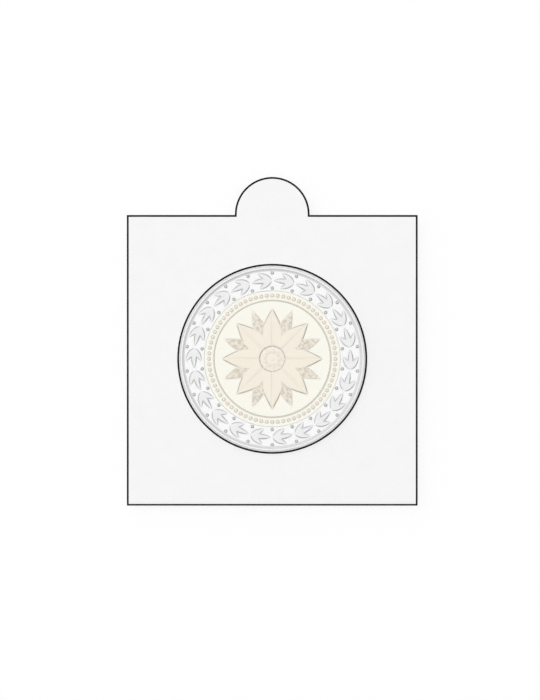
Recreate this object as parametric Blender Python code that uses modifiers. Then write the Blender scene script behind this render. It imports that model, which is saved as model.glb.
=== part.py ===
"""Cardboard coin holder: a folded card with two round windows, a clear film behind each, and a coin between.

The holder lies flat, +Z up. The origin is the centre of the windows and the coin, on the surface that it rests on.
+Y points to the edge with the thumb tab, and the fold runs along X at the opposite edge.
"""

import math

import bmesh
import bpy

MM = 0.001

# Card
CARD_SIDE = 42.8 * MM
CARD_THICKNESS = 0.5 * MM
WINDOW_DIAMETER = 27.5 * MM
WINDOW_RISE = 0.24 * MM  # from the card's centre up to the window's centre
TAB_RADIUS = 5.5 * MM
TAB_STRAIGHT = 0.1 * MM  # upright sides below the tab's half circle

# Film
FILM_THICKNESS = 0.05 * MM
FILM_MARGIN = 1.5 * MM  # from the card's edge in to the film's edge
FILM_BEND = 0.04 * MM  # inside radius where the film turns up out of its flange

# Adhesive
ADHESIVE_THICKNESS = 0.05 * MM
ADHESIVE_SETBACK = 1.0 * MM  # from the window's edge out to the coat

# Coin
COIN_THICKNESS = 2.2 * MM
COIN_BEVEL = 0.15 * MM
RING_WIDTH = 3.58 * MM
RIM_WIDTH = 0.55 * MM
RIM_SLOPE = 0.12 * MM  # width of the slope from the rim down to the field
FIELD_DEPTH = 0.15 * MM  # from the rim down to the field
LOCK_WIDTH = 0.6 * MM  # the ring's ridge in the core's groove, along the coin's thickness
LOCK_DEPTH = 0.15 * MM

# Clearances
LAYER_GAP = 0.02 * MM  # between flat layers that lie on each other
COIN_FACE_GAP = 0.03 * MM  # coin's face to film
COIN_SIDE_GAP = 0.05 * MM  # coin's edge to film
WINDOW_GAP = 0.05 * MM  # film to window's edge
CORE_GAP = 0.02 * MM  # core to ring
CREASE_GAP = 0.05 * MM  # each card to the crease

# Facets
ROUND_STEPS = 96
TAB_STEPS = 24
CREASE_STEPS = 16
CORNER_STEPS = 3
SMOOTH_ANGLE = math.radians(35)
MERGE_DISTANCE = 0.001 * MM

# The stack, outwards from the plane where the two halves meet
ADHESIVE_INNER = LAYER_GAP / 2
FLANGE_INNER = ADHESIVE_INNER + ADHESIVE_THICKNESS + LAYER_GAP
FLANGE_OUTER = FLANGE_INNER + FILM_THICKNESS
CARD_INNER = FLANGE_OUTER + LAYER_GAP
CARD_OUTER = CARD_INNER + CARD_THICKNESS
DISC_INNER = COIN_THICKNESS / 2 + COIN_FACE_GAP
DISC_OUTER = DISC_INNER + FILM_THICKNESS
MIDDLE_Z = max(DISC_OUTER, CARD_OUTER)

# Radii, inwards from the window
WINDOW_RADIUS = WINDOW_DIAMETER / 2
WALL_OUTER = WINDOW_RADIUS - WINDOW_GAP
WALL_INNER = WALL_OUTER - FILM_THICKNESS
COIN_RADIUS = WALL_INNER - COIN_SIDE_GAP
CORE_RADIUS = COIN_RADIUS - RING_WIDTH

# Card's edges and the fold's axis
CARD_BOTTOM = -CARD_SIDE / 2 - WINDOW_RISE
CARD_TOP = CARD_BOTTOM + CARD_SIDE
FOLD_Y = CARD_BOTTOM + CARD_OUTER
FILM_SIDE = CARD_SIDE - 2 * FILM_MARGIN
CARD_CENTRE_Y = (CARD_BOTTOM + CARD_TOP) / 2


def clear_scene():
    for obj in list(bpy.data.objects):
        bpy.data.objects.remove(obj, do_unlink=True)


def new_collection(name):
    collection = bpy.data.collections.new(name)
    bpy.context.scene.collection.children.link(collection)
    return collection


def new_material(name, colour, roughness, metallic=0.0, alpha=1.0):
    material = bpy.data.materials.new(name)
    material.use_nodes = True
    shader = material.node_tree.nodes["Principled BSDF"]
    shader.inputs["Base Color"].default_value = (*colour, 1.0)
    shader.inputs["Roughness"].default_value = roughness
    shader.inputs["Metallic"].default_value = metallic
    shader.inputs["Alpha"].default_value = alpha
    return material


def new_axis(name, collection, location):
    """An empty on a joint's axis, which carries the pieces that move together."""
    axis = bpy.data.objects.new(name, None)
    axis.empty_display_size = COIN_RADIUS
    axis.location = location
    collection.objects.link(axis)
    return axis


def place(obj, collection, parent, location, material):
    """Puts a piece at a point of the world, under its axis."""
    collection.objects.link(obj)
    obj.parent = parent
    obj.location = [at - base for at, base in zip(location, parent.location)]
    obj.data.materials.append(material)


def shaded(mesh):
    """The mesh shaded smooth, except at its sharp edges."""
    mesh.shade_smooth()
    mesh.set_sharp_from_angle(angle=SMOOTH_ANGLE)
    return mesh


def apply_modifiers(obj):
    shaped = obj.evaluated_get(bpy.context.evaluated_depsgraph_get())
    mesh = bpy.data.meshes.new_from_object(shaped)
    obj.modifiers.clear()
    obj.data = shaded(mesh)


def arc(centre, radius, start, end, steps):
    """Points along an arc, both ends included. Angles are in degrees, anticlockwise from the first axis."""
    angles = [math.radians(start + (end - start) * i / steps) for i in range(steps + 1)]
    return [(centre[0] + radius * math.cos(a), centre[1] + radius * math.sin(a)) for a in angles]


def circle(radius, steps):
    return arc((0, 0), radius, 0, 360, steps)[:-1]


def rectangle(width, bottom, top):
    return [(-width / 2, bottom), (width / 2, bottom), (width / 2, top), (-width / 2, top)]


def flat_sheet(name, outlines, thickness):
    """A sheet of even thickness about its own plane, from an outer outline and the holes in it.

    The outlines are filled in millimetres, because Blender's fill needs edges well over a ten-thousandth of a unit.
    """
    curve = bpy.data.curves.new(name, "CURVE")
    curve.dimensions = "2D"
    curve.fill_mode = "BOTH"
    curve.extrude = thickness / MM / 2
    for outline in outlines:
        spline = curve.splines.new("POLY")
        spline.points.add(len(outline) - 1)
        spline.use_cyclic_u = True
        for point, (x, y) in zip(spline.points, outline):
            point.co = (x / MM, y / MM, 0, 1)
    drawing = bpy.data.objects.new(name, curve)
    mesh = bpy.data.meshes.new_from_object(drawing)
    bpy.data.objects.remove(drawing, do_unlink=True)
    sheet = bmesh.new()
    sheet.from_mesh(mesh)
    bmesh.ops.remove_doubles(sheet, verts=sheet.verts, dist=MERGE_DISTANCE / MM)
    bmesh.ops.scale(sheet, vec=(MM, MM, MM), verts=sheet.verts)
    sheet.to_mesh(mesh)
    sheet.free()
    return bpy.data.objects.new(name, shaded(mesh))


def turned(name, profile, closed=False):
    """A solid turned about Z from a profile of (radius, height) points. A closed profile doesn't reach the axis."""
    mesh = bpy.data.meshes.new(name)
    edges = [(i, i + 1) for i in range(len(profile) - 1)]
    if closed:
        edges.append((len(profile) - 1, 0))
    mesh.from_pydata([(radius, 0, height) for radius, height in profile], edges, [])
    obj = bpy.data.objects.new(name, mesh)
    screw = obj.modifiers.new("Turn", "SCREW")
    screw.axis = "Z"
    screw.steps = screw.render_steps = ROUND_STEPS
    screw.use_merge_vertices = True
    screw.merge_threshold = MERGE_DISTANCE
    return obj


def mirrored(profile):
    """The same profile below the plane, still running down its outer side."""
    return [(radius, -height) for radius, height in reversed(profile)]


def card_outline(has_tab):
    low_left, low_right, top_right, top_left = rectangle(CARD_SIDE, FOLD_Y + CREASE_GAP, CARD_TOP)
    if not has_tab:
        return [low_left, low_right, top_right, top_left]
    tab = arc((0, CARD_TOP + TAB_STRAIGHT), TAB_RADIUS, 0, 180, TAB_STEPS)
    foot_right, foot_left = (TAB_RADIUS, CARD_TOP), (-TAB_RADIUS, CARD_TOP)
    return [low_left, low_right, top_right, foot_right, *tab, foot_left, top_left]


def make_card(name, side, has_tab):
    card = flat_sheet(name, [card_outline(has_tab), circle(WINDOW_RADIUS, ROUND_STEPS)], CARD_THICKNESS)
    return card, (0, 0, MIDDLE_Z + side * (CARD_INNER + CARD_OUTER) / 2)


def make_crease():
    """The board bent half round the fold's axis, as a section in Y and Z drawn along X."""
    outer = arc((0, 0), CARD_OUTER, 90, 270, CREASE_STEPS)
    inner = arc((0, 0), CARD_INNER, 270, 90, CREASE_STEPS)
    crease = flat_sheet("fold_crease", [outer + inner], CARD_SIDE)
    crease.rotation_euler = (math.radians(90), 0, math.radians(90))
    return crease, (0, FOLD_Y, MIDDLE_Z)


def film_profile():
    """The film over the coin: a flat disc, a rounded corner, an upright wall and a flat flange."""
    reach = CARD_SIDE
    corner = (WALL_INNER - COIN_BEVEL, DISC_INNER - COIN_BEVEL)
    foot = (WALL_OUTER + FILM_BEND, FLANGE_OUTER + FILM_BEND)
    outside = [
        (0, DISC_OUTER),
        *arc(corner, COIN_BEVEL + FILM_THICKNESS, 90, 0, CORNER_STEPS),
        *arc(foot, FILM_BEND, 180, 270, CORNER_STEPS),
        (reach, FLANGE_OUTER),
    ]
    inside = [
        (reach, FLANGE_INNER),
        *arc(foot, FILM_BEND + FILM_THICKNESS, 270, 180, CORNER_STEPS),
        *arc(corner, COIN_BEVEL, 0, 90, CORNER_STEPS),
        (0, DISC_INNER),
    ]
    return outside + inside


def make_film(name, side, trim):
    profile = film_profile() if side > 0 else mirrored(film_profile())
    film = turned(name, profile)
    cut = film.modifiers.new("Trim square", "BOOLEAN")
    cut.operation = "INTERSECT"
    cut.object = trim
    return film, (0, 0, MIDDLE_Z)


def make_film_trim(collection):
    """The square that both films are cut to, twice as high as the two of them."""
    bpy.ops.mesh.primitive_cube_add(size=1, location=(0, CARD_CENTRE_Y, MIDDLE_Z))
    trim = bpy.context.object
    trim.name = "film_trim"
    trim.scale = (FILM_SIDE, FILM_SIDE, 4 * DISC_OUTER)
    trim.hide_render = True
    trim.display_type = "WIRE"
    for holder in list(trim.users_collection):
        holder.objects.unlink(trim)
    collection.objects.link(trim)
    return trim


def make_adhesive(name, side):
    edge = FILM_SIDE / 2
    outline = rectangle(FILM_SIDE, CARD_CENTRE_Y - edge, CARD_CENTRE_Y + edge)
    hole = circle(WINDOW_RADIUS + ADHESIVE_SETBACK, ROUND_STEPS)
    adhesive = flat_sheet(name, [outline, hole], ADHESIVE_THICKNESS)
    return adhesive, (0, 0, MIDDLE_Z + side * (ADHESIVE_INNER + ADHESIVE_THICKNESS / 2))


def ring_half():
    """The upper half of the ring's section, from its bore's ridge over the rim to the middle of its edge."""
    top = COIN_THICKNESS / 2
    field = top - FIELD_DEPTH
    rim = COIN_RADIUS - RIM_WIDTH
    return [
        (CORE_RADIUS, LOCK_WIDTH / 2),
        (CORE_RADIUS, field),
        (rim - RIM_SLOPE, field),
        (rim, top),
        (COIN_RADIUS - COIN_BEVEL, top),
        (COIN_RADIUS, top - COIN_BEVEL),
    ]


def make_coin_ring():
    upper = ring_half()
    ridge = (CORE_RADIUS - LOCK_DEPTH, 0)
    return turned("coin_ring", [ridge, *upper, *mirrored(upper)], closed=True), (0, 0, MIDDLE_Z)


def make_coin_core():
    edge = CORE_RADIUS - CORE_GAP
    field = COIN_THICKNESS / 2 - FIELD_DEPTH
    upper = [(0, field), (edge, field), (edge, LOCK_WIDTH / 2)]
    groove = (edge - LOCK_DEPTH, 0)
    return turned("coin_core", [*upper, groove, *mirrored(upper)]), (0, 0, MIDDLE_Z)


def main():
    clear_scene()
    parts = new_collection("coin_holder")
    cutters = new_collection("cutters")

    board = new_material("white_board", (0.92, 0.92, 0.92), 0.85)
    film = new_material("clear_film", (0.96, 0.97, 0.97), 0.08, alpha=0.18)
    adhesive = new_material("clear_adhesive", (0.93, 0.92, 0.87), 0.35, alpha=0.4)
    ring_metal = new_material("white_metal", (0.86, 0.86, 0.88), 0.3, metallic=1.0)
    core_metal = new_material("yellow_metal", (0.93, 0.89, 0.74), 0.3, metallic=1.0)

    back = new_axis("back_leaf", parts, (0, 0, 0))
    front = new_axis("front_leaf", parts, (0, FOLD_Y, MIDDLE_Z))
    coin = new_axis("coin", parts, (0, 0, MIDDLE_Z))
    trim = make_film_trim(cutters)

    for piece, where, axis, material in (
        (*make_card("front_card", 1, True), front, board),
        (*make_card("back_card", -1, False), back, board),
        (*make_crease(), back, board),
        (*make_film("front_film", 1, trim), front, film),
        (*make_film("back_film", -1, trim), back, film),
        (*make_adhesive("front_adhesive", 1), front, adhesive),
        (*make_adhesive("back_adhesive", -1), back, adhesive),
        (*make_coin_ring(), coin, ring_metal),
        (*make_coin_core(), coin, core_metal),
    ):
        place(piece, parts, axis, where, material)

    for piece in [obj for obj in parts.objects if obj.modifiers]:
        apply_modifiers(piece)


main()
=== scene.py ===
"""Looks of a folded cardboard coin holder, laid out as a Blender add-on.

The panel lists the sizes and colours that can be changed and the operators that make the pieces. Run as
a script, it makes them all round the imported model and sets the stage. Pieces are modelled on the bench in
millimetres, lying flat round the windows' common axis, and brought to metres when they are finished.
"""

import math

import bmesh
import bpy
import numpy as np
from bpy.props import FloatProperty, FloatVectorProperty, IntProperty, PointerProperty
from mathutils import Matrix, Vector


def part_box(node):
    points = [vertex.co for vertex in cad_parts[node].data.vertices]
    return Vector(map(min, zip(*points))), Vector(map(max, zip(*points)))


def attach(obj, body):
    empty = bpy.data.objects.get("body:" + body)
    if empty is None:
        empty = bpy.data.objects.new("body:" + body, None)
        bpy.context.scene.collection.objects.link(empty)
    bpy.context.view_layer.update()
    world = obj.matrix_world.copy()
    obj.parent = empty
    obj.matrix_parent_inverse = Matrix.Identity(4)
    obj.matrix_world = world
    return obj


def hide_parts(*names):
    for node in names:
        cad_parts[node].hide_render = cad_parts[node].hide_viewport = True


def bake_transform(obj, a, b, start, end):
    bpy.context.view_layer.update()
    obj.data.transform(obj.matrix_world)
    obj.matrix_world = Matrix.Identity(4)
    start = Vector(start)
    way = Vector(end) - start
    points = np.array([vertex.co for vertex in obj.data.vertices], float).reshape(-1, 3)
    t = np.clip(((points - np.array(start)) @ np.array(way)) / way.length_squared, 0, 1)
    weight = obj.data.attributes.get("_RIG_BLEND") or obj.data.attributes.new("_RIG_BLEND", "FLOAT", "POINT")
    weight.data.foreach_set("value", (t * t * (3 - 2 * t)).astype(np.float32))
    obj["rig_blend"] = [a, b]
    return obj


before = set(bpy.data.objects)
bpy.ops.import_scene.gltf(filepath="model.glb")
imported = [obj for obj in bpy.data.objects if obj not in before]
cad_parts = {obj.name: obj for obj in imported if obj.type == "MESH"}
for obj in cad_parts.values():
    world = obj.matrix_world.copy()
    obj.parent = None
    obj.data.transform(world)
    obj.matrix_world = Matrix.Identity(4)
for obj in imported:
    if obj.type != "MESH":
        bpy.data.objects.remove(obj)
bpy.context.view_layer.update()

bl_info = {
    "name": "Coin Holder Looks",
    "version": (1, 0, 0),
    "blender": (4, 5, 0),
    "location": "3D View > Sidebar > Coin Holder",
    "description": "Makes the boards, films, tacky coats and struck coin of a cardboard coin holder",
    "category": "Object",
}

MM = 0.001


def bench_box(node):
    """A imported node's lowest and highest corners in millimetres."""
    low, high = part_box(node)
    return low / MM, high / MM


# Places on the bench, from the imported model
front_card_low, front_card_high = bench_box("front_card")
crease_low, crease_high = bench_box("fold_crease")
film_low, film_high = bench_box("front_film")
back_card_high = bench_box("back_card")[1]
ring_high = bench_box("coin_ring")[1]
core_high = bench_box("coin_core")[1]

HALF_WIDTH = front_card_high.x
CARD_TOP = back_card_high.y
TAB_TOP = front_card_high.y
FOLD_Y = crease_high.y
MIDDLE_Z = (crease_low.z + crease_high.z) / 2
BEND_OUTER = crease_high.z - MIDDLE_Z
BOARD_THICKNESS = front_card_high.z - front_card_low.z
FILM_TOP = film_high.z - MIDDLE_Z
FILM_FOOT = film_low.z - MIDDLE_Z
COIN_RADIUS = ring_high.x
COIN_TOP = ring_high.z - MIDDLE_Z
CORE_RADIUS = core_high.x
WALL_RADIUS = COIN_RADIUS + 0.1  # outside of the film's wall round the coin
RING_MIDDLE = (COIN_RADIUS + CORE_RADIUS) / 2 - 0.28  # middle of the ring's field, inside the rim

# Fine sizes of the coin, in millimetres
JOINT_GAP = 0.02
JOINT_CHAMFER = 0.05
LOCK_HALF_WIDTH = 0.3
LOCK_DEPTH = 0.15
RIM_SLOPE = 0.24
RIM_LIP = (0.06, 0.02)  # width and drop of the rounding at the top of the slope
RIM_ROUND = 0.2
REED_END = 0.9
REED_RUNOUT = 0.01
REED_DEPTH = 0.05
RELIEF_SLOPE = 0.24
BUTTON_SLOPE = 0.2
GROOVE_WIDTH = 0.13
SLOPE_NUDGE = 0.06  # half the distance over which the relief's slope is measured, for the painted shade on its flanks
RIM_SHADE = 0.37  # painted shade on the rim's slope, as dark as on flanks of this steepness
SIDE_LEAF_LEAN = math.radians(30)

# Fine sizes of the boards, films and coats, in millimetres
BEND_INSET = 0.01  # how far the bend's sides lie inside the boards'
BEND_TURNING = 0.4  # half the height over which the bend goes over to the front half
LINE_FOOT = 0.15  # height over the middle of the bend at which the printed line starts
FILM_CORNER = 0.15  # inner rounding where the film bends down round the coin
FILM_FOOT_BEND = 0.04
WAVE_FADE = 2.0
PLEATS = 40  # all round the wall
PLEAT_DEPTH = 0.006
HAZE_START = (COIN_RADIUS - 0.14, COIN_RADIUS - 0.02)  # where the haze at the coin's edge sets in
HAZE_END = (WALL_RADIUS + 0.45, WALL_RADIUS + 0.1)  # and where it ends, outside in
COAT_EDGE = 0.2
COAT_WANDER = 0.002  # how far the coat's round edge strays, as a share of its radius

# Facets of the finished meshes
WINDOW_STEPS = 192
TAB_STEPS = 48
BEND_STEPS = 32
BEND_COLUMNS = 64
BEND_LAYERS = 3
RING_STEPS = 960
CORE_STEPS = 480
RING_GRAIN, CORE_GRAIN = 0.1, 0.12  # radial spacing of the struck faces' points, in millimetres
DISC_STEP, WALL_STEP, FLANGE_STEP = 0.6, 0.25, 1.2  # spacing along a film's profile, in millimetres
MERGE_DISTANCE = 0.0005  # in millimetres
SMOOTH_ANGLE = math.radians(40)
CUT_ANGLE = math.radians(60)

# Which way a face points: the share of its normal along an axis
NEARLY_ALONG = 0.99
NEARLY_ACROSS = 0.1

FLOOR_REACH = 2000  # half of the floor's side, in millimetres
FLOOR_GLOW = 0.78  # share of the floor that shines by itself to the camera and in reflections

# Places of the boards' finishes among their materials
WHITE, INK, CUT, INSIDE = range(4)


class HolderSizes(bpy.types.PropertyGroup):
    """Sizes of the holder that a user would change."""

    window_diameter: FloatProperty(
        name="Window",
        description="Diameter of the round window in each half of the card",
        default=27.5 * MM,
        unit="LENGTH",
        precision=5,
    )
    tab_radius: FloatProperty(
        name="Tab radius",
        description="Radius of the half-round thumb tab",
        default=5.5 * MM,
        unit="LENGTH",
        precision=5,
    )
    line_width: FloatProperty(
        name="Printed line",
        description="Width of the line along the card's edge, and of line and gap round the window",
        default=0.28 * MM,
        unit="LENGTH",
        precision=5,
    )
    board_edge: FloatProperty(
        name="Board edge",
        description="Rounding where the die has pressed the board's cut edge",
        default=0.04 * MM,
        unit="LENGTH",
        precision=5,
    )
    film_thickness: FloatProperty(
        name="Film",
        description="Thickness of the clear film",
        default=0.05 * MM,
        unit="LENGTH",
        precision=5,
    )
    film_wave: FloatProperty(
        name="Film wave",
        description="Height of the slow waves in the film where it is drawn over the coin",
        default=0.006 * MM,
        unit="LENGTH",
        precision=6,
    )
    tack_setback: FloatProperty(
        name="Tack setback",
        description="Distance from the window's edge out to the tacky coat",
        default=1.0 * MM,
        unit="LENGTH",
        precision=5,
    )
    rim_width: FloatProperty(
        name="Rim",
        description="Width of the coin's raised rim",
        default=0.52 * MM,
        unit="LENGTH",
        precision=5,
    )
    field_depth: FloatProperty(
        name="Field depth",
        description="Depth of the coin's field under its rim",
        default=0.15 * MM,
        unit="LENGTH",
        precision=5,
    )
    relief_height: FloatProperty(
        name="Relief",
        description="Height of the struck ornament over the field",
        default=0.12 * MM,
        unit="LENGTH",
        precision=5,
    )
    reed_count: IntProperty(
        name="Reeds",
        description="Number of fine grooves round the coin's edge",
        default=160,
        min=24,
        max=RING_STEPS // 2,
    )
    petal_count: IntProperty(
        name="Petals",
        description="Number of petals of the rosette on the coin's core",
        default=8,
        min=3,
    )
    sprig_count: IntProperty(
        name="Sprigs",
        description="Number of three-leaf sprigs in the wreath on the coin's ring",
        default=22,
        min=3,
    )


class HolderColours(bpy.types.PropertyGroup):
    """Colours of the holder that a user would change."""

    board: FloatVectorProperty(
        name="Board",
        description="White face of the board",
        default=(0.925, 0.925, 0.925),
        subtype="COLOR",
    )
    cut_edge: FloatVectorProperty(
        name="Cut edge",
        description="Cut edge and bare inside of the board",
        default=(0.86, 0.855, 0.84),
        subtype="COLOR",
    )
    ink: FloatVectorProperty(
        name="Ink",
        description="Printed line",
        default=(0.006, 0.006, 0.0065),
        subtype="COLOR",
    )
    tack: FloatVectorProperty(
        name="Tacky coat",
        description="Board seen through the clear adhesive on the inside",
        default=(0.86, 0.845, 0.78),
        subtype="COLOR",
    )
    ring: FloatVectorProperty(
        name="Ring",
        description="White metal of the coin's ring",
        default=(0.975, 0.975, 0.975),
        subtype="COLOR",
    )
    ring_relief: FloatVectorProperty(
        name="Ring ornament",
        description="Raised ornament on the ring",
        default=(0.93, 0.93, 0.932),
        subtype="COLOR",
    )
    # painted shade on the ornament's flanks and on the rim's slope
    ring_flank_shade: FloatVectorProperty(
        name="Ring outline",
        description="Flanks of the ornament and foot of the rim",
        default=(0.4, 0.4, 0.4),
        subtype="COLOR",
    )
    core: FloatVectorProperty(
        name="Core",
        description="Pale yellow metal of the coin's core",
        default=(0.985, 0.97, 0.88),
        subtype="COLOR",
    )
    core_relief: FloatVectorProperty(
        name="Core ornament",
        description="Raised ornament on the core",
        default=(0.99, 0.925, 0.80),
        subtype="COLOR",
    )
    # painted shade on the ornament's flanks, and the colour of the stippled dots
    core_flank_shade_and_stipple: FloatVectorProperty(
        name="Core outline",
        description="Flanks and stippled parts of the ornament on the core",
        default=(0.5, 0.44, 0.36),
        subtype="COLOR",
    )
    backdrop: FloatVectorProperty(
        name="Backdrop",
        description="Floor and room as the camera sees them",
        default=(1.0, 1.0, 1.0),
        subtype="COLOR",
    )


class Wire:
    """A value on its way between nodes. Each arithmetic operator adds a Math node."""

    def __init__(self, desk, socket):
        self.desk = desk
        self.socket = socket

    def __add__(self, other):
        return self.desk.maths("ADD", self, other)

    def __sub__(self, other):
        return self.desk.maths("SUBTRACT", self, other)

    def __rsub__(self, other):
        return self.desk.maths("SUBTRACT", other, self)

    def __mul__(self, other):
        return self.desk.maths("MULTIPLY", self, other)

    def __pow__(self, other):
        return self.desk.maths("POWER", self, other)

    __radd__ = __add__
    __rmul__ = __mul__


class NodeDesk:
    """Lays out the nodes of one material or world."""

    def __init__(self, tree):
        self.tree = tree
        tree.nodes.clear()

    def add(self, kind, settings=None, inputs=None, outputs=(0,)):
        """A node with its settings made and its sockets filled or linked, as a wire for each output."""
        node = self.tree.nodes.new(kind)
        for name, value in (settings or {}).items():
            setattr(node, name, value)
        for name, value in (inputs or {}).items():
            if isinstance(value, Wire):
                self.tree.links.new(value.socket, node.inputs[name])
            else:
                node.inputs[name].default_value = value
        wires = [Wire(self, node.outputs[name]) for name in outputs if node.outputs]
        return wires[0] if len(wires) == 1 else wires

    def maths(self, operation, *terms):
        return self.add("ShaderNodeMath", {"operation": operation}, dict(enumerate(terms)))

    def mix(self, factor, first, second):
        """A colour between two others."""
        return self.add("ShaderNodeMix", {"data_type": "RGBA"}, {0: factor, 6: first, 7: second}, (2,))

    def smooth(self, value, start, end, low=0.0, high=1.0):
        """A value that eases from low to high between start and end."""
        settings = {"interpolation_type": "SMOOTHSTEP"}
        return self.add("ShaderNodeMapRange", settings, {0: value, 1: start, 2: end, 3: low, 4: high})

    def bench_place(self, source="Object"):
        """The point on the piece in millimetres. The crease keeps its own flat map, because it bends."""
        place = self.add("ShaderNodeTexCoord", outputs=(source,))
        if source == "UV":
            return place
        return self.add("ShaderNodeVectorMath", {"operation": "SCALE"}, {0: place, "Scale": 1 / MM})

    def flat(self, place):
        """The place with its height left out."""
        return self.add("ShaderNodeVectorMath", {"operation": "MULTIPLY"}, {0: place, 1: (1.0, 1.0, 0.0)})

    def stretched(self, place, scale, turn=0.0):
        """The place turned about Z by some degrees and stretched, for a pattern with a direction."""
        inputs = {"Vector": place, "Rotation": (0, 0, math.radians(turn)), "Scale": scale}
        return self.add("ShaderNodeMapping", {"vector_type": "TEXTURE"}, inputs)

    def noise(self, place, per_mm, detail=3.0, roughness=0.55):
        """Cloudy noise from 0 to 1, about its middle of 0.5."""
        inputs = {"Vector": place, "Scale": per_mm, "Detail": detail, "Roughness": roughness}
        return self.add("ShaderNodeTexNoise", {"normalize": True}, inputs)

    def bump(self, height, depth_mm):
        """A normal for a height from 0 to 1 that stands for a depth in millimetres."""
        return self.add("ShaderNodeBump", None, {"Distance": depth_mm * MM, "Height": height})

    def principled(self, **inputs):
        """The surface shader, its sockets named in lower case with underscores."""
        named = {}
        for name, value in inputs.items():
            named[name.replace("_", " ").title().replace("Ior", "IOR")] = value
        return self.add("ShaderNodeBsdfPrincipled", None, named)

    def surface(self, shader):
        self.add("ShaderNodeOutputMaterial", None, {"Surface": shader})

    def finish(self, **inputs):
        self.surface(self.principled(**inputs))


def rgba(colour, shade=1.0):
    """A colour for a node's socket, made darker or lighter by a factor."""
    return (*(channel * shade for channel in colour), 1.0)


def finish_of(name, paint, *choices):
    """The material of that name, painted once and then shared."""
    material = bpy.data.materials.get(name)
    if material is None:
        material = bpy.data.materials.new(name)
        material.use_nodes = True
        paint(NodeDesk(material.node_tree), *choices)
    return material


def paint_white_board(desk, colour, source):
    """Smooth white board: pressed pulp with faint clouds, fine fibres two ways and a dry surface."""
    place = desk.bench_place(source)
    clouds = desk.noise(place, 0.35)
    pulp = desk.noise(place, 5.0, detail=5.0, roughness=0.65)
    along = desk.noise(desk.stretched(place, (4.0, 0.5, 1.0), 18), 3.5)
    across = desk.noise(desk.stretched(place, (4.0, 0.5, 1.0), 112), 3.1)
    fibres = desk.maths("MAXIMUM", along, across)
    shade = desk.smooth(clouds * 0.35 + pulp * 0.35 + fibres * 0.3, 0.3, 0.72)
    desk.finish(
        base_color=desk.mix(shade, rgba(colour, 0.975), rgba(colour, 1.012)),
        roughness=0.7 + pulp * 0.2,
        normal=desk.bump(pulp * 0.6 + fibres * 0.4, 0.03),
    )


def paint_cut_board(desk, colour, source):
    """Bare board at a cut: thin layers of pulp along the sheet, and loose fibres."""
    place = desk.bench_place(source)
    layers = desk.noise(desk.stretched(place, (2.0, 2.0, 0.06)), 1.0, detail=4.0)
    fuzz = desk.noise(place, 9.0, detail=4.0, roughness=0.7)
    shade = desk.smooth(layers * 0.6 + fuzz * 0.4, 0.3, 0.7)
    desk.finish(
        base_color=desk.mix(shade, rgba(colour, 0.9), rgba(colour, 1.03)),
        roughness=0.85 + fuzz * 0.1,
        normal=desk.bump(layers * 0.5 + fuzz * 0.5, 0.04),
    )


def paint_inside_board(desk, colour, source):
    """The board's uncoated inside: coarser pulp with longer fibres than the white face."""
    place = desk.bench_place(source)
    pulp = desk.noise(place, 3.0, detail=6.0, roughness=0.7)
    along = desk.noise(desk.stretched(place, (6.0, 0.5, 1.0), 74), 2.0)
    across = desk.noise(desk.stretched(place, (6.0, 0.5, 1.0), -21), 2.3)
    fibres = desk.maths("MAXIMUM", along, across)
    shade = desk.smooth(pulp * 0.5 + fibres * 0.5, 0.35, 0.75)
    desk.finish(
        base_color=desk.mix(shade, rgba(colour, 0.95), rgba(colour, 1.06)),
        roughness=0.82 + pulp * 0.12,
        normal=desk.bump(pulp * 0.5 + fibres * 0.5, 0.045),
    )


def paint_ink(desk, colour, source):
    """A black line that has sunk a little into the board, thinner where a fibre stands up."""
    place = desk.bench_place(source)
    soak = desk.noise(place, 6.0, detail=4.0, roughness=0.65)
    thin = desk.smooth(soak, 0.5, 0.85)
    desk.finish(
        base_color=desk.mix(thin, rgba(colour), rgba(colour, 2.5)),
        roughness=0.6 + soak * 0.2,
        specular_ior_level=0.12,
        normal=desk.bump(soak, 0.02),
    )


def paint_clear_film(desk, coat_start):
    """Thin clear film: faint rubs, haze at the coin's edge, and a mirror at a slant where it isn't stuck."""
    place = desk.bench_place()
    slant = desk.add("ShaderNodeLayerWeight", None, {"Blend": 0.5}, ("Facing",))
    rubs = desk.noise(desk.stretched(place, (9.0, 0.12, 1.0), 33), 1.4, detail=4.0)
    specks = desk.noise(place, 4.0, detail=2.0)
    rubbed = desk.smooth(rubs, 0.62, 0.8)
    away = desk.add("ShaderNodeVectorMath", {"operation": "LENGTH"}, {0: desk.flat(place)}, ("Value",))
    haze = desk.smooth(away, *HAZE_START) * desk.smooth(away, *HAZE_END)
    stuck = desk.smooth(away, coat_start, coat_start + COAT_EDGE)
    mirror = (0.028 + 0.9 * slant ** 5.0 + 0.015 * rubbed) * (1 - 0.85 * stuck) + 0.55 * haze
    gloss = desk.principled(
        base_color=(0.985, 0.985, 0.985, 1.0),
        metallic=0.8 - 0.8 * haze,
        roughness=0.05 + rubbed * 0.12 + specks * 0.03 + haze * 0.35,
        normal=desk.bump(desk.noise(place, 0.35, detail=2.0), 0.012),
    )
    clear = desk.add("ShaderNodeBsdfTransparent", None, {"Color": (0.998, 0.998, 0.998, 1.0)})
    desk.surface(desk.add("ShaderNodeMixShader", None, {0: mirror, 1: clear, 2: gloss}))


def paint_tack(desk, colour):
    """A clear tacky coat on white board: faint pulp under a sheen with orange peel and rolled streaks."""
    place = desk.bench_place()
    peel = desk.noise(place, 1.1, detail=3.0)
    pulp = desk.noise(place, 3.0, detail=5.0, roughness=0.65)
    streaks = desk.noise(desk.stretched(place, (0.8, 9.0, 1.0)), 0.8, detail=2.0)
    shade = desk.smooth(pulp * 0.6 + streaks * 0.4, 0.3, 0.7)
    desk.finish(
        base_color=desk.mix(shade, rgba(colour, 0.97), rgba(colour, 1.02)),
        roughness=0.22 + peel * 0.2,
        normal=desk.bump(peel * 0.8 + streaks * 0.2, 0.01),
    )


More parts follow.
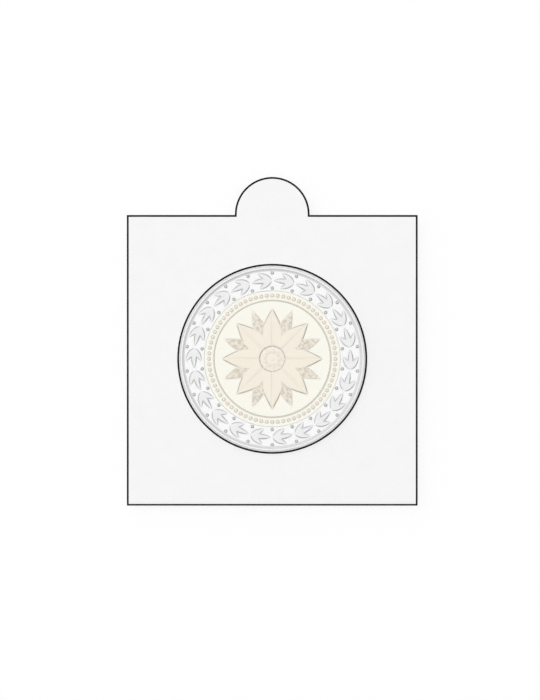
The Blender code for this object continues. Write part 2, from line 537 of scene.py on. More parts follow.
def paint_struck_metal(desk, field, ornament, flank_shade_and_stipple):
    """Struck coin metal: bright field with a fine lustre, toned ornament, stippled parts and painted shade on
    steep flanks.
    """
    place = desk.bench_place()
    struck, flank, stippled = (
        desk.add("ShaderNodeAttribute", {"attribute_name": name}, outputs=("Fac",))
        for name in ("struck", "flank", "stippled")
    )
    grain = desk.noise(place, 7.0, detail=4.0, roughness=0.6)
    clouds = desk.noise(place, 0.25)
    outward = desk.add("ShaderNodeVectorMath", {"operation": "NORMALIZE"}, {0: desk.flat(place)})
    lustre = desk.noise(outward, 36.0)
    hairs = desk.noise(desk.stretched(place, (12.0, 0.15, 1.0), -28), 1.2)
    scratched = desk.smooth(hairs, 0.63, 0.78)
    dots = desk.smooth(desk.noise(place, 2.6, detail=1.0), 0.42, 0.58)
    raised = desk.smooth(struck, 0.1, 0.45)
    toned = desk.mix(raised, rgba(field), rgba(ornament))
    dotted = desk.mix(stippled * (0.25 + dots * 0.75), toned, rgba(flank_shade_and_stipple))
    # painted shade: steep flanks of the ornament and the rim's slope are darkened towards this colour
    flank_shaded = desk.mix(desk.smooth(flank, 0.2, 0.6) * 0.85, dotted, rgba(flank_shade_and_stipple))
    desk.finish(
        base_color=desk.mix(clouds * 0.1, flank_shaded, rgba(ornament)),
        metallic=1.0,
        roughness=0.22 + struck * 0.12 + lustre * 0.1 + grain * 0.06 + scratched * 0.1 + stippled * 0.1,
        normal=desk.bump(grain * 0.6 + lustre * 0.2 + dots * stippled, 0.008),
    )


def paint_floor(desk, colour):
    """A white floor that the camera and reflections see near full white, with the soft shadow kept."""
    rays = ("Is Camera Ray", "Is Glossy Ray", "Is Transmission Ray")
    direct, mirrored, through = desk.add("ShaderNodeLightPath", outputs=rays)
    seen = desk.maths("MAXIMUM", desk.maths("MAXIMUM", direct, mirrored), through)
    sweep = desk.noise(desk.bench_place(), 0.01)
    tone = desk.mix(sweep, rgba(colour, 0.985), rgba(colour, 1.0))
    lit = desk.add("ShaderNodeBsdfDiffuse", None, {"Color": tone})
    glow = desk.add("ShaderNodeEmission", None, {"Color": rgba(colour), "Strength": 1.0})
    desk.surface(desk.add("ShaderNodeMixShader", None, {0: seen * FLOOR_GLOW, 1: lit, 2: glow}))


def light_room(world, colour):
    """A white room: bright overhead and round the floor, dimmer between, and dimmest at the lower right."""
    world.use_nodes = True
    desk = NodeDesk(world.node_tree)
    direction = desk.add("ShaderNodeTexCoord", outputs=("Generated",))
    right, forward, height = desk.add("ShaderNodeSeparateXYZ", None, {0: direction}, ("X", "Y", "Z"))
    half_way = 0.7 + (forward - right) * 0.2
    overhead = desk.smooth(height, 0.7, 0.95, half_way, 1.02)
    horizon = desk.smooth(height, 0.45, 0.15, 0.0, 0.92)
    tone = desk.maths("MAXIMUM", overhead, horizon)
    room = desk.add("ShaderNodeBackground", None, {"Color": rgba(colour), "Strength": tone})
    sheet = desk.add("ShaderNodeBackground", None, {"Color": rgba(colour), "Strength": 1.0})
    direct, through = desk.add("ShaderNodeLightPath", outputs=("Is Camera Ray", "Is Transmission Ray"))
    seen = desk.maths("MAXIMUM", direct, through)
    both = desk.add("ShaderNodeMixShader", None, {0: seen, 1: room, 2: sheet})
    desk.add("ShaderNodeOutputWorld", None, {"Surface": both})


def chain(bm, points, start=None):
    """Points in the plane of the sheet, joined by edges one after the other."""
    verts = [start] if start else []
    for x, y in points:
        verts.append(bm.verts.new((x, y, 0)))
        if len(verts) > 1:
            bm.edges.new(verts[-2:])
    return verts


def ring_of_edges(bm, radius, steps):
    """A plain circle of edges round the window's middle."""
    circle = bmesh.ops.create_circle(bm, radius=radius, segments=steps)
    return list({edge for vert in circle["verts"] for edge in vert.link_edges})


def draw_card_edge(bm, inset, tab_radius):
    """The edge of one half of the card, drawn from fold to fold at a distance inside the cut."""
    before = set(bm.edges)
    side, top, tab_side = HALF_WIDTH - inset, CARD_TOP - inset, tab_radius - inset
    last = chain(bm, [(side, FOLD_Y), (side, top)])[-1]
    if tab_radius:
        middle = TAB_TOP - tab_radius
        shoulder = chain(bm, [(tab_side, top), (tab_side, middle)], last)[-1]
        turn = bmesh.ops.spin(
            bm, geom=[shoulder], cent=(0, middle, 0), axis=(0, 0, 1), angle=math.pi, steps=TAB_STEPS
        )
        end = next(item for item in turn["geom_last"] if isinstance(item, bmesh.types.BMVert))
        last = chain(bm, [(-tab_side, top)], end)[-1]
    chain(bm, [(-side, top), (-side, FOLD_Y)], last)
    return [edge for edge in bm.edges if edge not in before]


def fold_edge(bm, edges):
    """The straight edge along the fold that shuts a card outline."""
    verts = {vert for edge in edges for vert in edge.verts}
    return bm.edges.new([vert for vert in verts if abs(vert.co.y - FOLD_Y) < MERGE_DISTANCE])


def thicken(bm, low, high):
    """A flat drawing made a closed sheet between two heights."""
    raised = bmesh.ops.extrude_face_region(bm, geom=bm.faces[:])
    tops = [item for item in raised["geom"] if isinstance(item, bmesh.types.BMVert)]
    bmesh.ops.translate(bm, vec=(0, 0, high - low), verts=tops)
    bmesh.ops.translate(bm, vec=(0, 0, low), verts=bm.verts)
    bmesh.ops.recalc_face_normals(bm, faces=bm.faces)


def soften(bm, edges, width):
    """Rounds edges, two faces wide."""
    bmesh.ops.bevel(bm, geom=edges, offset=width, segments=2, profile=0.5, affect="EDGES", material=-1)


def rim_edges(bm):
    """The edges along a sheet's cut, on both faces, apart from those at the fold."""
    found = []
    for edge in bm.edges:
        ends = [vert.co for vert in edge.verts]
        level = abs(ends[0].z - ends[1].z) < MERGE_DISTANCE
        at_fold = all(abs(end.y - FOLD_Y) < MERGE_DISTANCE for end in ends)
        if level and not at_fold and edge.calc_face_angle(0) > CUT_ANGLE:
            found.append(edge)
    return found


def put_in_scene(name, data):
    """A new object for a mesh, a lamp or a camera."""
    thing = bpy.data.objects.new(name, data)
    bpy.context.scene.collection.objects.link(thing)
    return thing


def mesh_of(bm, name, finishes):
    """A bench mesh brought to metres, with its finishes."""
    bmesh.ops.scale(bm, vec=(MM, MM, MM), verts=bm.verts)
    mesh = bpy.data.meshes.new(name)
    bm.to_mesh(mesh)
    bm.free()
    for finish in finishes:
        mesh.materials.append(finish)
    return mesh


def finish_piece(bm, name, body, node, finishes):
    """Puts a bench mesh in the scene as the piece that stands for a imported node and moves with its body."""
    mesh = mesh_of(bm, name, finishes)
    mesh.set_sharp_from_angle(angle=SMOOTH_ANGLE)
    piece = put_in_scene(name, mesh)
    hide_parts(node)
    if body:
        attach(piece, body)
    return piece


def board_finishes(colours, source="Object"):
    """The white face, the ink, the cut edge and the inside, in the order of their places."""
    end = "" if source == "Object" else "_bent"
    return [
        finish_of("white_board" + end, paint_white_board, colours.board, source),
        finish_of("printed_ink" + end, paint_ink, colours.ink, source),
        finish_of("cut_board" + end, paint_cut_board, colours.cut_edge, source),
        finish_of("inside_board" + end, paint_inside_board, colours.cut_edge, source),
    ]


def make_board(name, node, body, side, sizes, colours):
    """One half of the card: a sheet with its window, and on the front half the tab and the printed line."""
    window = sizes.window_diameter / MM / 2
    line = sizes.line_width / MM
    printed = side > 0
    tab_radius = sizes.tab_radius / MM if printed else 0
    bm = bmesh.new()
    outer = draw_card_edge(bm, 0, tab_radius)
    hole = ring_of_edges(bm, window, WINDOW_STEPS)
    if printed:
        inner = draw_card_edge(bm, line, tab_radius)
        film_gap = window - WALL_RADIUS  # looks as dark as the ink, so it counts towards the line
        halo = ring_of_edges(bm, window + line - film_gap, WINDOW_STEPS)
        for pair in ((outer, inner), (hole, halo)):
            band = bmesh.ops.bridge_loops(bm, edges=pair[0] + pair[1])
            for face in band["faces"]:
                face.material_index = INK
        outer, hole = inner, halo
    panel = [*outer, *hole, fold_edge(bm, outer)]
    bmesh.ops.triangle_fill(bm, edges=panel, use_beauty=True, normal=(0, 0, 1))
    low, high = bench_box(node)
    thicken(bm, low.z, high.z)
    soften(bm, rim_edges(bm), sizes.board_edge / MM)
    for face in bm.faces:
        outward = face.normal.z * side
        face.smooth = NEARLY_ACROSS < abs(outward) < NEARLY_ALONG
        if abs(outward) < NEARLY_ACROSS:
            face.material_index = CUT
        elif outward < 0:
            face.material_index = INSIDE
        elif outward < NEARLY_ALONG:
            face.material_index = INK if printed else WHITE
    return finish_piece(bm, name, body, node, board_finishes(colours))


def whole(bm):
    return bm.verts[:] + bm.edges[:] + bm.faces[:]


def cut_across(bm, point, direction, clear=False):
    """Cuts the whole mesh through along a plane, and clears what lies beyond it if asked."""
    bmesh.ops.bisect_plane(bm, geom=whole(bm), plane_co=point, plane_no=direction, clear_outer=clear)


def make_crease(sizes, colours):
    """The board bent round at the fold, with the printed line along its outermost edge and its ends."""
    line = sizes.line_width / MM
    inner = BEND_OUTER - BOARD_THICKNESS
    axis = Vector((0, FOLD_Y, MIDDLE_Z))
    bm = bmesh.new()
    bmesh.ops.create_grid(bm, x_segments=BEND_COLUMNS, y_segments=BEND_LAYERS, size=0.5)
    bmesh.ops.scale(bm, vec=(2 * (HALF_WIDTH - BEND_INSET), BOARD_THICKNESS, 1), verts=bm.verts)
    bmesh.ops.rotate(bm, matrix=Matrix.Rotation(math.radians(90), 3, "X"), verts=bm.verts)
    bmesh.ops.translate(bm, vec=axis + Vector((0, 0, inner + BOARD_THICKNESS / 2)), verts=bm.verts)
    for side in (-1, 1):
        cut_across(bm, (side * (HALF_WIDTH - line), 0, 0), (1, 0, 0))
    bmesh.ops.spin(bm, geom=whole(bm), cent=axis, axis=(1, 0, 0), angle=math.pi, steps=BEND_STEPS)
    bmesh.ops.remove_doubles(bm, verts=bm.verts, dist=MERGE_DISTANCE)
    line_top = crease_low.y + line
    cut_across(bm, (0, line_top, 0), (0, 1, 0))
    bmesh.ops.recalc_face_normals(bm, faces=bm.faces)
    flat_map = bm.loops.layers.uv.new("flat")
    for face in bm.faces:
        middle = face.calc_center_median()
        outward = face.normal.yz.dot((middle - axis).yz)
        in_line = middle.y < line_top or abs(middle.x) > HALF_WIDTH - line
        face.smooth = True
        if abs(face.normal.x) > NEARLY_ALONG:
            face.material_index = CUT
            face.smooth = False
        elif outward < inner / 2:
            face.material_index = INSIDE
        elif middle.z > MIDDLE_Z + LINE_FOOT and in_line:
            face.material_index = INK
        for loop in face.loops:
            reach = loop.vert.co - axis
            loop[flat_map].uv = (loop.vert.co.x, BEND_OUTER * math.atan2(reach.z, -reach.y))
    crease = finish_piece(bm, "crease_bend", None, "fold_crease", board_finishes(colours, "UV"))
    turning = BEND_TURNING * MM
    middle = Vector((0, FOLD_Y * MM, MIDDLE_Z * MM))
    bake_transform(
        crease,
        "back_leaf",
        "front_leaf",
        start=middle - Vector((0, 0, turning)),
        end=middle + Vector((0, 0, turning)),
    )
    return crease


def arc(centre, radius, start, end, steps):
    """Points along an arc between two angles in degrees, both ends included."""
    angles = [math.radians(start + (end - start) * i / steps) for i in range(steps + 1)]
    return [(centre[0] + radius * math.cos(a), centre[1] + radius * math.sin(a)) for a in angles]


def steps_between(start, end, spacing):
    """Even values from start to end, both included, about a spacing apart."""
    count = max(1, round(abs(end - start) / spacing))
    return [start + (end - start) * i / count for i in range(count + 1)]


def turn_profile(bm, profile, steps, closed=False):
    """Turns (radius, height) points about the coin's axis: an eighth of a turn, doubled three times."""
    verts = [bm.verts.new((radius, 0, height)) for radius, height in profile]
    edges = [bm.edges.new(pair) for pair in zip(verts, verts[1:])]
    if closed:
        edges.append(bm.edges.new((verts[-1], verts[0])))
    turned = math.tau / 8
    bmesh.ops.spin(bm, geom=verts + edges, cent=(0, 0, 0), axis=(0, 0, 1), angle=turned, steps=steps // 8)
    for _ in range(3):
        copied = bmesh.ops.duplicate(bm, geom=whole(bm))
        fresh = [item for item in copied["geom"] if isinstance(item, bmesh.types.BMVert)]
        bmesh.ops.rotate(bm, cent=(0, 0, 0), matrix=Matrix.Rotation(turned, 3, "Z"), verts=fresh)
        turned *= 2
    bmesh.ops.remove_doubles(bm, verts=bm.verts, dist=MERGE_DISTANCE)
    bmesh.ops.recalc_face_normals(bm, faces=bm.faces)
    for face in bm.faces:
        face.smooth = True


def slow_wave(x, y):
    """A gentle unevenness from -1 to 1, for a place in millimetres."""
    return (
        math.sin(0.62 * x + 0.9) * math.sin(0.47 * y - 0.4)
        + 0.6 * math.sin(0.31 * x - 0.83 * y + 1.7)
        + 0.35 * math.sin(1.45 * x + 1.1 * y)
    ) / 1.95


def film_profile(thickness):
    """A film's outer side from its middle out, as (radius, height), and the centres of its two bends."""
    corner_radius = FILM_CORNER + thickness
    corner = (WALL_RADIUS - corner_radius, FILM_TOP - corner_radius)
    foot = (WALL_RADIUS + FILM_FOOT_BEND, FILM_FOOT + thickness + FILM_FOOT_BEND)
    past_corners = film_high.x * 1.5
    disc = [(radius, FILM_TOP) for radius in steps_between(0, corner[0], DISC_STEP)]
    wall = [(WALL_RADIUS, height) for height in steps_between(corner[1], foot[1], WALL_STEP)]
    flat = [(radius, FILM_FOOT + thickness) for radius in steps_between(foot[0], past_corners, FLANGE_STEP)]
    profile = disc[:-1] + arc(corner, corner_radius, 90, 0, 8)
    profile += wall[1:-1] + arc(foot, FILM_FOOT_BEND, 180, 270, 4) + flat[1:]
    return profile, corner, foot


def ruffle(bm, corner, foot, wave):
    """Slow waves in a film's disc, inwards only, and fine pleats in its wall."""
    for vert in bm.verts:
        x, y, z = vert.co
        radius = math.hypot(x, y)
        if radius < corner[0]:
            ease = min(1.0, (corner[0] - radius) / WAVE_FADE)
            vert.co.z += wave * ease * (slow_wave(x, y) - 1)
        elif foot[1] < z < corner[1] and radius > WALL_RADIUS - MERGE_DISTANCE:
            share = (z - foot[1]) / (corner[1] - foot[1])
            pleat = math.sin(PLEATS * math.atan2(y, x)) * math.sin(math.pi * share)
            vert.co.xy *= 1 + PLEAT_DEPTH * pleat / WALL_RADIUS


def make_film(name, node, body, side, sizes):
    """A clear film drawn over the coin like a dish, with a flat flange cut square."""
    thickness = sizes.film_thickness / MM
    profile, corner, foot = film_profile(thickness)
    bm = bmesh.new()
    turn_profile(bm, profile, WINDOW_STEPS)
    ruffle(bm, corner, foot, sizes.film_wave / MM)
    middle = Vector((0, (film_low.y + film_high.y) / 2, 0))
    for across in (Vector((1, 0, 0)), Vector((-1, 0, 0)), Vector((0, 1, 0)), Vector((0, -1, 0))):
        cut_across(bm, middle + across * film_high.x, across, clear=True)
    bmesh.ops.recalc_face_normals(bm, faces=bm.faces)
    on_disc = next(face for face in bm.faces if face.calc_center_median().xy.length < 1)
    if on_disc.normal.z < 0:
        bmesh.ops.reverse_faces(bm, faces=bm.faces)
    bmesh.ops.solidify(bm, geom=bm.faces[:], thickness=thickness)
    bmesh.ops.scale(bm, vec=(1, 1, side), verts=bm.verts)
    bmesh.ops.translate(bm, vec=(0, 0, MIDDLE_Z), verts=bm.verts)
    bmesh.ops.recalc_face_normals(bm, faces=bm.faces)
    coat_start = (sizes.window_diameter / 2 + sizes.tack_setback) / MM
    finish = finish_of("clear_film", paint_clear_film, coat_start)
    return finish_piece(bm, name, body, node, [finish])


def make_tacky_coat(name, node, body, sizes, colours):
    """The adhesive on the inside of one half, cut back round the window with a slightly uneven edge."""
    low, high = bench_box(node)
    bm = bmesh.new()
    square = chain(bm, [(high.x, low.y), (high.x, high.y), (low.x, high.y), (low.x, low.y)])
    bm.edges.new((square[-1], square[0]))
    hole = ring_of_edges(bm, (sizes.window_diameter / 2 + sizes.tack_setback) / MM, WINDOW_STEPS)
    for vert in {vert for edge in hole for vert in edge.verts}:
        bearing = math.atan2(vert.co.y, vert.co.x)
        uneven = math.sin(7 * bearing) + math.sin(17 * bearing + 1) * 0.6
        vert.co.xy *= 1 + COAT_WANDER * uneven
    bmesh.ops.triangle_fill(bm, edges=bm.edges[:], use_beauty=True, normal=(0, 0, 1))
    thicken(bm, low.z, high.z)
    finish = finish_of("tacky_coat", paint_tack, colours.tack)
    return finish_piece(bm, name, body, node, [finish])


def eased(inside, slope):
    """0 outside a shape and 1 inside it, rising over a slope."""
    share = np.clip(inside / slope, 0, 1)
    return share * share * (3 - 2 * share)


def folded(bearing, count, turn=0.0):
    """The bearing from the middle of its own sector, for a motif repeated round the coin."""
    sector = math.tau / count
    return (bearing + (0.5 - turn) * sector) % sector - sector / 2


def leaf(along, across, length, width):
    """A pointed leaf from its stalk at 0 to its tip, crowned, with a groove down its middle."""
    share = np.clip(along / length, 0, 1)
    half = width / 2 * np.sin(math.pi * share**0.8)
    body = eased(half - np.abs(across), RELIEF_SLOPE)
    crown = 1 - 0.3 * np.clip(np.abs(across) / np.maximum(half, 0.05), 0, 1) ** 2
    groove = 1 - 0.4 * np.exp(-((across / GROOVE_WIDTH) ** 2))
    return body * crown * groove


def petals(radius, bearing, count, start, end, width, turn=0.0):
    """Leaves that point outwards all round, from one radius to another."""
    angle = folded(bearing, count, turn)
    return leaf(radius * np.cos(angle) - start, radius * np.sin(angle), end - start, width)


def beads(radius, bearing, count, middle, size, turn=0.0):
    """Half balls in a circle, with the circle's radius and their own."""
    angle = folded(bearing, count, turn)
    away = np.hypot(radius * np.cos(angle) - middle, radius * np.sin(angle))
    return np.sqrt(np.clip(1 - (away / size) ** 2, 0, 1))


def thread(radius, middle, width):
    return eased(width / 2 - np.abs(radius - middle), width / 2)


def button(radius, size):
    """A flat round with a sloping edge."""
    return eased(size - radius, BUTTON_SLOPE)


def wreath(radius, bearing, count, middle):
    """Sprigs of three leaves, one behind the other along the ring, with berries beside each."""
    out = radius - middle
    spacing = math.tau * middle / count
    found = []
    for stalk in (-0.5, 0.5):  # the two sprigs that start at the ends of a point's sector
        forward = middle * folded(bearing, count) - stalk * spacing
        found.append(leaf(forward, out, length=1.05 * spacing, width=0.95))
        for side in (1, -1):
            along = forward * math.cos(SIDE_LEAF_LEAN) + side * out * math.sin(SIDE_LEAF_LEAN)
            across = side * out * math.cos(SIDE_LEAF_LEAN) - forward * math.sin(SIDE_LEAF_LEAN)
            found.append(leaf(along, across, length=0.78 * spacing, width=0.95) * 0.9)
    for side in (1, -1):
        found.append(beads(radius, bearing, count, middle=middle + side * 1.12, size=0.22, turn=0.5))
    return np.maximum.reduce(found)


# A relief gives its ornament's height and its stippled part, both from 0 to 1


def front_core_relief(radius, bearing, sizes):
    """A rosette of broad petals over stippled narrow ones round a seeded boss, in a thread and beads."""
    count = sizes.petal_count
    broad = petals(radius, bearing, count, start=0.8, end=7.6, width=3.1)
    narrow = petals(radius, bearing, count, start=1.6, end=8.0, width=2.1, turn=0.5) * 0.6
    flower = np.maximum(broad, narrow) * (1 - button(radius, 1.95))
    seeds = np.maximum(
        beads(radius, bearing, 9, middle=1.08, size=0.3),
        beads(radius, bearing, 1, middle=0, size=0.42),
    )
    boss = button(radius, 1.7) * 0.5 + seeds * 0.5
    edging = np.maximum(
        thread(radius, middle=8.6, width=0.3) * 0.6,
        beads(radius, bearing, 72, middle=9.3, size=0.28) * 0.8,
    )
    stippled = narrow * (narrow > broad) * (radius > 1.9)
    return np.maximum.reduce([flower, boss, edging]), stippled


def back_core_relief(radius, bearing, sizes):
    """A whorl of curved petals, every other one stippled, inside two threads."""
    count = sizes.petal_count
    swept = bearing - 0.11 * radius
    plain = petals(radius, swept, count, start=1.6, end=8.1, width=1.9)
    dotted = petals(radius, swept, count, start=1.6, end=8.1, width=1.9, turn=0.5) * 0.8
    boss = button(radius, 1.5) * 0.8
    edging = np.maximum(thread(radius, middle=8.7, width=0.3), thread(radius, middle=9.4, width=0.3)) * 0.7
    return np.maximum.reduce([plain, dotted, boss, edging]), dotted


def front_ring_relief(radius, bearing, sizes):
    raised = wreath(radius, bearing, sizes.sprig_count, RING_MIDDLE)
    return raised, np.zeros_like(raised)


def back_ring_relief(radius, bearing, sizes):
    """Beads and short bars by turns."""
    count = 2 * sizes.sprig_count
    across = np.abs(radius * np.sin(folded(bearing, count, turn=0.5)))
    bars = eased(0.2 - across, 0.15) * eased(0.8 - np.abs(radius - RING_MIDDLE), 0.2)
    raised = np.maximum(beads(radius, bearing, count, middle=RING_MIDDLE, size=0.42), bars * 0.8)
    return raised, np.zeros_like(raised)


def steepness(relief, radius, bearing, sizes):
    """How much a relief rises over a short distance, outwards and round."""
    further, nearer = radius + SLOPE_NUDGE, radius - SLOPE_NUDGE
    turn = SLOPE_NUDGE / np.maximum(radius, 0.5)  # held back close to the middle
    outwards = relief(further, bearing, sizes)[0] - relief(nearer, bearing, sizes)[0]
    all_round = relief(radius, bearing + turn, sizes)[0] - relief(radius, bearing - turn, sizes)[0]
    return np.hypot(outwards, all_round)


def strike(bm, field, reliefs, inner, outer, sizes):
    """Raises the ornament from the fields of both faces, and keeps its height, and its slope for painted
    shade on the flanks.
    """
    height = sizes.relief_height / MM
    layers = bm.verts.layers.float
    struck, flank, stippled = (layers.new(name) for name in ("struck", "flank", "stippled"))
    for side, relief in zip((1, -1), reliefs):
        verts = [
            vert
            for vert in bm.verts
            if abs(vert.co.z - side * field) < MERGE_DISTANCE and inner < vert.co.xy.length < outer
        ]
        x, y = np.array([vert.co.xy for vert in verts]).T
        radius, bearing = np.hypot(x, y), np.arctan2(y, side * x)
        raised, dotted = relief(radius, bearing, sizes)
        steep = steepness(relief, radius, bearing, sizes)
        for vert, rise, slope, dot in zip(verts, raised, steep, dotted):
            vert.co.z += side * height * float(rise)
            vert[struck] = float(rise)
            # painted shade: the steeper the relief here, the darker its colour
            vert[flank] = min(1.0, float(slope))
            vert[stippled] = float(dot)
    return flank


def make_core(sizes, colours):
    """The coin's inner disc, struck on both faces, with the groove that holds it in the ring."""
    field = COIN_TOP - sizes.field_depth / MM
    upper = [(radius, field) for radius in steps_between(0, CORE_RADIUS - JOINT_CHAMFER, CORE_GRAIN)]
    upper += [(CORE_RADIUS, field - JOINT_CHAMFER), (CORE_RADIUS, LOCK_HALF_WIDTH)]
    groove = [(CORE_RADIUS - LOCK_DEPTH, 0)]
    profile = upper + groove + [(radius, -height) for radius, height in reversed(upper)]
    bm = bmesh.new()
    turn_profile(bm, profile, CORE_STEPS)
    strike(bm, field, (front_core_relief, back_core_relief), -1, CORE_RADIUS - 2 * JOINT_CHAMFER, sizes)
    bmesh.ops.translate(bm, vec=(0, 0, MIDDLE_Z), verts=bm.verts)
    metal = (colours.core, colours.core_relief, colours.core_flank_shade_and_stipple)
    finish = finish_of("struck_yellow_metal", paint_struck_metal, *metal)
    return finish_piece(bm, "coin_core_struck", "coin", "coin_core", [finish])


def make_ring(sizes, colours):
    """The coin's outer ring: raised rim, struck field, reeded edge and the ridge that holds the core."""
    field = COIN_TOP - sizes.field_depth / MM
    rim = COIN_RADIUS - sizes.rim_width / MM
    bore = CORE_RADIUS + JOINT_GAP
    rim_foot, rim_top = rim - RIM_SLOPE / 2, rim + RIM_SLOPE / 2
    lip_width, lip_drop = RIM_LIP
    upper = [(bore, LOCK_HALF_WIDTH), (bore, field - JOINT_CHAMFER)]
    upper += [(radius, field) for radius in steps_between(bore + JOINT_CHAMFER, rim_foot, RING_GRAIN)]
    upper += [(rim_top, COIN_TOP - lip_drop), (rim_top + lip_width, COIN_TOP)]
    upper += arc((COIN_RADIUS - RIM_ROUND, COIN_TOP - RIM_ROUND), RIM_ROUND, 90, 0, 6)
    reeded = [(COIN_RADIUS, height) for height in (REED_END - REED_RUNOUT, REED_END / 2)]
    profile = [(bore - LOCK_DEPTH, 0)] + upper + reeded
    profile += [(radius, -height) for radius, height in reversed(upper + reeded)]
    bm = bmesh.new()
    turn_profile(bm, profile, RING_STEPS, closed=True)
    for vert in bm.verts:
        if vert.co.xy.length > COIN_RADIUS - MERGE_DISTANCE and abs(vert.co.z) < REED_END:
            step = round(math.atan2(vert.co.y, vert.co.x) / math.tau * RING_STEPS)
            if step % (RING_STEPS // sizes.reed_count) == 0:
                vert.co.xy *= 1 - REED_DEPTH / COIN_RADIUS
    inner, outer = bore + 2 * JOINT_CHAMFER, rim_foot - JOINT_CHAMFER
    flank = strike(bm, field, (front_ring_relief, back_ring_relief), inner, outer, sizes)
    # the rim's slope gets painted shade as well, at a fixed depth
    for vert in bm.verts:
        if abs(vert.co.xy.length - rim) < RIM_SLOPE:
            vert[flank] = RIM_SHADE
    bmesh.ops.translate(bm, vec=(0, 0, MIDDLE_Z), verts=bm.verts)
    metal = (colours.ring, colours.ring_relief, colours.ring_flank_shade)
    finish = finish_of("struck_white_metal", paint_struck_metal, *metal)
    return finish_piece(bm, "coin_ring_struck", "coin", "coin_ring", [finish])


class HOLDER_OT_boards(bpy.types.Operator):
    """Make the front and back halves of the card"""

    bl_idname = "coin_holder.boards"
    bl_label = "Boards"

    def execute(self, context):
        sizes, colours = context.scene.holder_sizes, context.scene.holder_colours
        make_board("front_board", "front_card", "front_leaf", 1, sizes, colours)
        make_board("back_board", "back_card", "back_leaf", -1, sizes, colours)
        return {"FINISHED"}


class HOLDER_OT_crease(bpy.types.Operator):
    """Make the board's bend at the fold"""

    bl_idname = "coin_holder.crease"
    bl_label = "Crease"

    def execute(self, context):
        make_crease(context.scene.holder_sizes, context.scene.holder_colours)
        return {"FINISHED"}


class HOLDER_OT_films(bpy.types.Operator):
    """Make the clear films behind the windows"""

    bl_idname = "coin_holder.films"
    bl_label = "Films"

    def execute(self, context):
        sizes = context.scene.holder_sizes
        make_film("front_film_dish", "front_film", "front_leaf", 1, sizes)
        make_film("back_film_dish", "back_film", "back_leaf", -1, sizes)
        return {"FINISHED"}


class HOLDER_OT_tacky_coats(bpy.types.Operator):
    """Make the tacky coats inside the two halves"""

    bl_idname = "coin_holder.tacky_coats"
    bl_label = "Tacky coats"

    def execute(self, context):
        sizes, colours = context.scene.holder_sizes, context.scene.holder_colours
        make_tacky_coat("front_tacky_coat", "front_adhesive", "front_leaf", sizes, colours)
        make_tacky_coat("back_tacky_coat", "back_adhesive", "back_leaf", sizes, colours)
        return {"FINISHED"}


class HOLDER_OT_coin_ring(bpy.types.Operator):
    """Make the coin's outer ring with its rim, wreath and reeded edge"""

    bl_idname = "coin_holder.coin_ring"
    bl_label = "Coin ring"

    def execute(self, context):
        make_ring(context.scene.holder_sizes, context.scene.holder_colours)
        return {"FINISHED"}


class HOLDER_OT_coin_core(bpy.types.Operator):
    """Make the coin's core with its rosette"""

    bl_idname = "coin_holder.coin_core"
    bl_label = "Coin core"

    def execute(self, context):
        make_core(context.scene.holder_sizes, context.scene.holder_colours)
        return {"FINISHED"}


# The view: straight down on the front, through a long lens
PICTURE_HEIGHT = 700
PIXELS_PER_MM = 6.796
VIEW_MIDDLE = Vector((-0.33, 1.295))  # the point of the holder at the picture's middle, in millimetres
LENS = 200
SENSOR = 36


def make_floor(colours):
    bm = bmesh.new()
    bmesh.ops.create_grid(bm, x_segments=1, y_segments=1, size=FLOOR_REACH)
    finish = finish_of("white_floor", paint_floor, colours.backdrop)
    floor = put_in_scene("floor", mesh_of(bm, "floor", [finish]))


def make_softbox(name, place, size, watts):
    """A square lamp that faces the holder."""
    light = bpy.data.lights.new(name, "AREA")
    light.shape = "SQUARE"
    light.size = size
    light.energy = watts
    lamp = put_in_scene(name, light)
    lamp.location = place
    lamp.rotation_euler = Vector(place).to_track_quat("Z", "Y").to_euler()
    lamp.visible_camera = False
    lamp.visible_glossy = False  # the metal and the films mirror the room alone


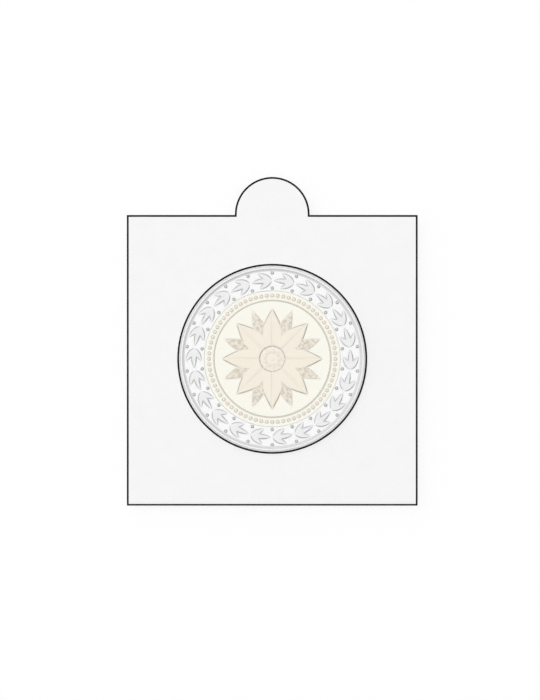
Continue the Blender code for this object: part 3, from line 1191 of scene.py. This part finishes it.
def make_camera():
    data = bpy.data.cameras.new("camera")
    data.lens = LENS
    data.sensor_width = SENSOR
    data.clip_start = 0.01
    data.clip_end = 10
    camera = put_in_scene("camera", data)
    distance = PICTURE_HEIGHT / PIXELS_PER_MM * MM * LENS / SENSOR
    camera.location = (VIEW_MIDDLE.x * MM, VIEW_MIDDLE.y * MM, front_card_high.z * MM + distance)
    bpy.context.scene.camera = camera


class HOLDER_OT_stage(bpy.types.Operator):
    """Set the floor, the soft light and the camera"""

    bl_idname = "coin_holder.stage"
    bl_label = "Stage"

    def execute(self, context):
        scene = context.scene
        colours = scene.holder_colours
        make_floor(colours)
        scene.world = bpy.data.worlds.new("white_room")
        light_room(scene.world, colours.backdrop)
        make_softbox("key_softbox", place=(-0.32, 0.3, 0.5), size=0.7, watts=1.07)
        make_softbox("fill_softbox", place=(0.45, -0.2, 0.5), size=0.6, watts=0.49)
        make_camera()
        scene.view_settings.view_transform = "Standard"
        return {"FINISHED"}


MAKERS = (
    HOLDER_OT_boards,
    HOLDER_OT_crease,
    HOLDER_OT_films,
    HOLDER_OT_tacky_coats,
    HOLDER_OT_coin_ring,
    HOLDER_OT_coin_core,
    HOLDER_OT_stage,
)


class HOLDER_PT_looks(bpy.types.Panel):
    """Sizes, colours and makers of the coin holder"""

    bl_label = "Coin Holder"
    bl_space_type = "VIEW_3D"
    bl_region_type = "UI"
    bl_category = "Coin Holder"

    def draw(self, context):
        layout = self.layout
        for group in (context.scene.holder_sizes, context.scene.holder_colours):
            box = layout.box()
            for name in group.__annotations__:
                box.prop(group, name)
        for maker in MAKERS:
            layout.operator(maker.bl_idname)


CLASSES = (HolderSizes, HolderColours, *MAKERS, HOLDER_PT_looks)


def register():
    for cls in CLASSES:
        bpy.utils.register_class(cls)
    bpy.types.Scene.holder_sizes = PointerProperty(type=HolderSizes)
    bpy.types.Scene.holder_colours = PointerProperty(type=HolderColours)


def unregister():
    del bpy.types.Scene.holder_colours
    del bpy.types.Scene.holder_sizes
    for cls in reversed(CLASSES):
        bpy.utils.unregister_class(cls)


def main():
    register()
    bpy.ops.coin_holder.boards()
    bpy.ops.coin_holder.crease()
    bpy.ops.coin_holder.films()
    bpy.ops.coin_holder.tacky_coats()
    bpy.ops.coin_holder.coin_ring()
    bpy.ops.coin_holder.coin_core()
    bpy.ops.coin_holder.stage()


if __name__ == "__main__":
    main()
